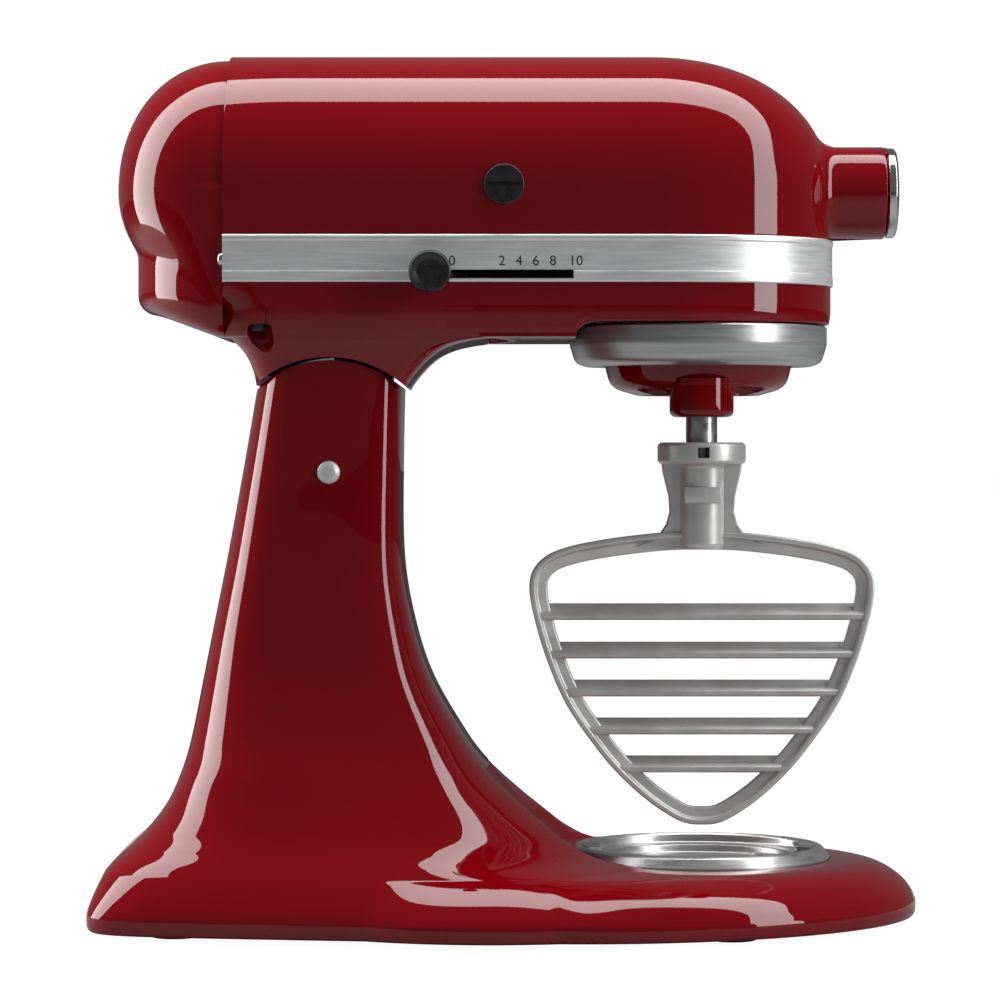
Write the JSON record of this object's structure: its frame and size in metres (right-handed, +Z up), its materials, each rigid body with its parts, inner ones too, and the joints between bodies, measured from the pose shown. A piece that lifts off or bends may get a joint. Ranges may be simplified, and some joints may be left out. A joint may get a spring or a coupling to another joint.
{
  "type": "stand mixer",
  "caption": "Tilt-head stand mixer with a planetary beater drive, pastry beater, round attachment hub and twist-in bowl plate.",
  "frame": {"origin": "on the table under the middle of the base", "axes": "+X forward to the attachment hub, +Y to the mixer's left, +Z up"},
  "size_m": [0.336, 0.2162, 0.355],
  "materials": {
    "red_enamel": "deep glossy candy red enamel over a casting",
    "rubber": "matt black rubber",
    "polished_steel": "polished steel",
    "brushed_trim": "satin brushed steel",
    "zinc_screws": "zinc plated steel",
    "black_plastic": "gloss black moulded plastic",
    "black_rubber_gland": "matt black rubber",
    "lever_steel": "bright flat steel strip",
    "cast_aluminium": "burnished cast aluminium",
    "lamination_steel": "stacked electrical steel sheets",
    "copper": "enamelled copper wire and bars",
    "bearing_bronze": "sintered bronze",
    "gear_steel": "ground and hobbed steel",
    "motor_plastic": "dark phenolic moulding"
  },
  "bodies": {
    "stand": {"stand_casting": "red_enamel", "feet": "rubber", "bowl_plate": "polished_steel", "bowl_plate_screws": "zinc_screws", "hinge_pin": "polished_steel", "hinge_set_screw": "zinc_screws", "height_screw": "zinc_screws"},
    "head": {"upper_housing": "red_enamel", "gear_case": "red_enamel", "rear_cover": "red_enamel", "rear_cover_screw": "zinc_screws", "trim_band": "brushed_trim", "trim_screws": "polished_steel", "housing_screws": "zinc_screws", "cord_gland": "black_rubber_gland", "stator_core": "lamination_steel", "field_coils": "copper", "front_motor_bearing": "bearing_bronze", "rear_motor_bearing": "bearing_bronze", "rear_bracket": "cast_aluminium", "control_plate": "motor_plastic", "control_plate_screws": "zinc_screws", "carbon_brushes": "motor_plastic", "brush_springs": "gear_steel", "brush_holders": "motor_plastic", "brush_caps": "black_plastic", "ring_gear": "gear_steel", "drip_ring": "brushed_trim", "centre_bush": "bearing_bronze", "wheel_bush": "bearing_bronze", "hub_bush": "bearing_bronze", "hub_cover_pin": "polished_steel"},
    "planetary": {"planetary": "red_enamel", "planetary_roll_pin": "gear_steel", "centre_shaft": "gear_steel", "centre_gear": "gear_steel", "planetary_bevel": "gear_steel"},
    "agitator": {"beater_shaft": "gear_steel", "beater_cross_pin": "gear_steel", "planet_pinion": "gear_steel", "pastry_beater": "cast_aluminium"},
    "worm_wheel": {"worm_wheel": "bearing_bronze", "wheel_shaft": "gear_steel", "wheel_pinion": "gear_steel"},
    "armature": {"armature_shaft": "gear_steel", "armature_core": "lamination_steel", "armature_winding": "copper", "commutator": "copper", "cooling_fan": "motor_plastic", "governor": "gear_steel", "worm": "gear_steel"},
    "hub_drive": {"hub_shaft": "gear_steel", "hub_bevel": "gear_steel"},
    "speed_control": {"speed_lever": "lever_steel", "speed_knob": "black_plastic"},
    "head_lock": {"lock_lever": "lever_steel", "lock_knob": "black_plastic"},
    "hub_knob": {"knob_screw": "zinc_screws", "attachment_knob": "black_plastic"},
    "hub_cover": {"hub_cover": "polished_steel"}
  },
  "joints": [
    {"name": "head_tilt", "type": "hinge", "parent": "stand", "child": "head", "pos_m": [-0.072, 0, 0.184], "axis": [0, -1, 0], "range_deg": [0, 32]},
    {"name": "planetary_spin", "type": "hinge", "parent": "head", "child": "planetary", "pos_m": [0.0785, 0, 0.25], "axis": [0, 0, 1], "continuous": true},
    {"name": "agitator_spin", "type": "hinge", "parent": "planetary", "child": "agitator", "pos_m": [0.0785, -0.02775, 0.22], "axis": [0, 0, 1], "continuous": true},
    {"name": "worm_wheel_spin", "type": "hinge", "parent": "head", "child": "worm_wheel", "pos_m": [0.04362, 0.026, 0.28], "axis": [0, 0, 1], "continuous": true},
    {"name": "armature_spin", "type": "hinge", "parent": "head", "child": "armature", "pos_m": [0, 0, 0.299], "axis": [1, 0, 0], "continuous": true},
    {"name": "hub_drive_spin", "type": "hinge", "parent": "head", "child": "hub_drive", "pos_m": [0.105, 0, 0.299], "axis": [1, 0, 0], "continuous": true},
    {"name": "speed_control", "type": "hinge", "parent": "head", "child": "speed_control", "pos_m": [-0.0025, 0, 0.263], "axis": [0, 0, 1], "range_deg": [0, 48]},
    {"name": "lock_lever", "type": "hinge", "parent": "head", "child": "head_lock", "pos_m": [-0.049, 0.041, 0.263], "axis": [0, 0, 1], "range_deg": [-38, 0]},
    {"name": "hub_knob_turn", "type": "hinge", "parent": "head", "child": "hub_knob", "pos_m": [0.146, 0.026, 0.299], "axis": [0, 1, 0], "range_deg": [0, 360]},
    {"name": "hub_cover_hinge", "type": "hinge", "parent": "head", "child": "hub_cover", "pos_m": [0.1525, 0, 0.316], "axis": [0, -1, 0], "range_deg": [0, 100]}
  ],
  "couplings": [
    {"joint": "agitator_spin", "follows": "planetary_spin", "ratio": -3.6429},
    {"joint": "worm_wheel_spin", "follows": "planetary_spin", "ratio": -3.1429},
    {"joint": "armature_spin", "follows": "planetary_spin", "ratio": 47.143},
    {"joint": "hub_drive_spin", "follows": "planetary_spin", "ratio": 1}
  ]
}
